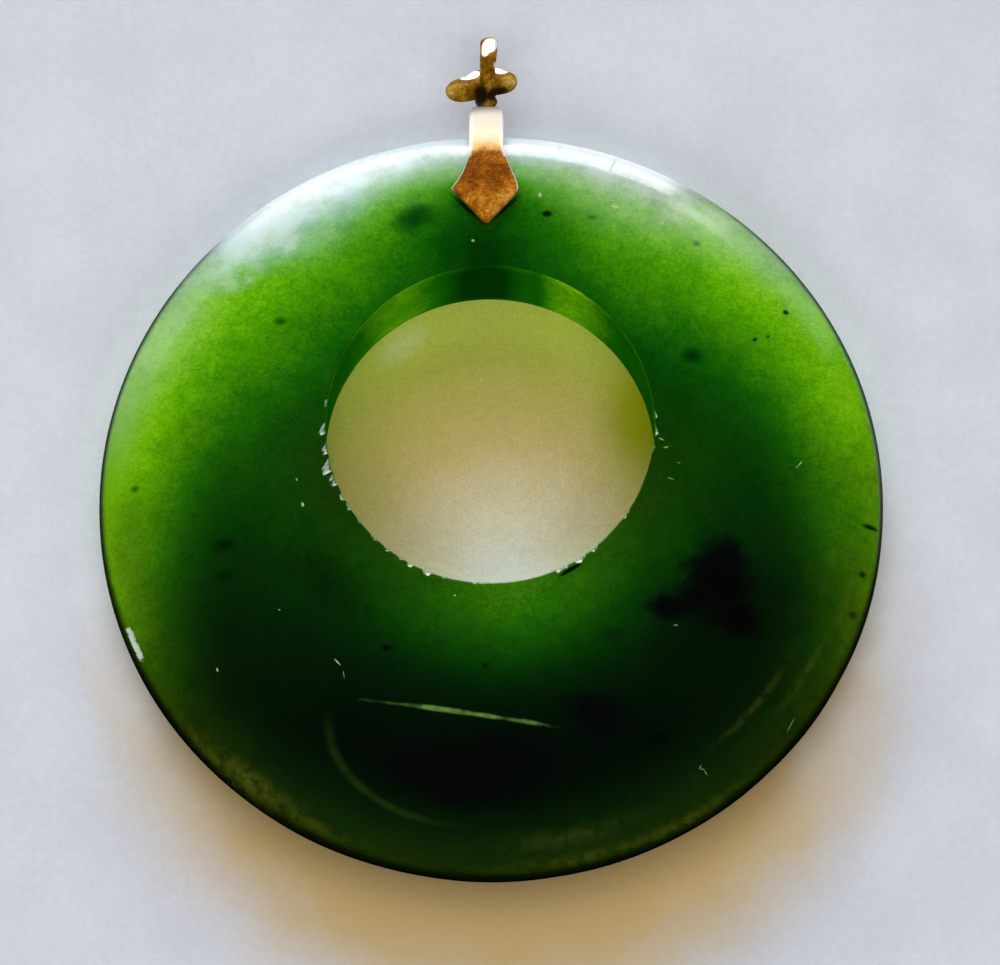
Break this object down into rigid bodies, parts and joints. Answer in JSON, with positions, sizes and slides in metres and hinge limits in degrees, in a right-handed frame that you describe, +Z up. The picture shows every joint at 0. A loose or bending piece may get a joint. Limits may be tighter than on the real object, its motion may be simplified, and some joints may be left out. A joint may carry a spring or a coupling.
{
  "type": "jade ring pendant",
  "caption": "Polished jade disc with an off-centre round hole, hung from a folded sheet-metal bail with a kite-shaped leaf and a small cast crown with a chain loop.",
  "frame": {"origin": "centre of the bounding box, on the surface that the pendant lies on", "axes": "+Z up out of the disc's face; +Y from the disc towards the bail and its chain loop"},
  "size_m": [0.05, 0.0568, 0.0071],
  "materials": {
    "jade": "polished translucent green nephrite, clouded dark and yellow-green, rim of the hole lightly chipped",
    "gold_plate": "worn gold plate on brass, mottled copper-brown patina"
  },
  "bodies": {
    "root": {"jade_disc": "jade", "bail_strip": "gold_plate", "bail_crown": "gold_plate"}
  },
  "joints": []
}
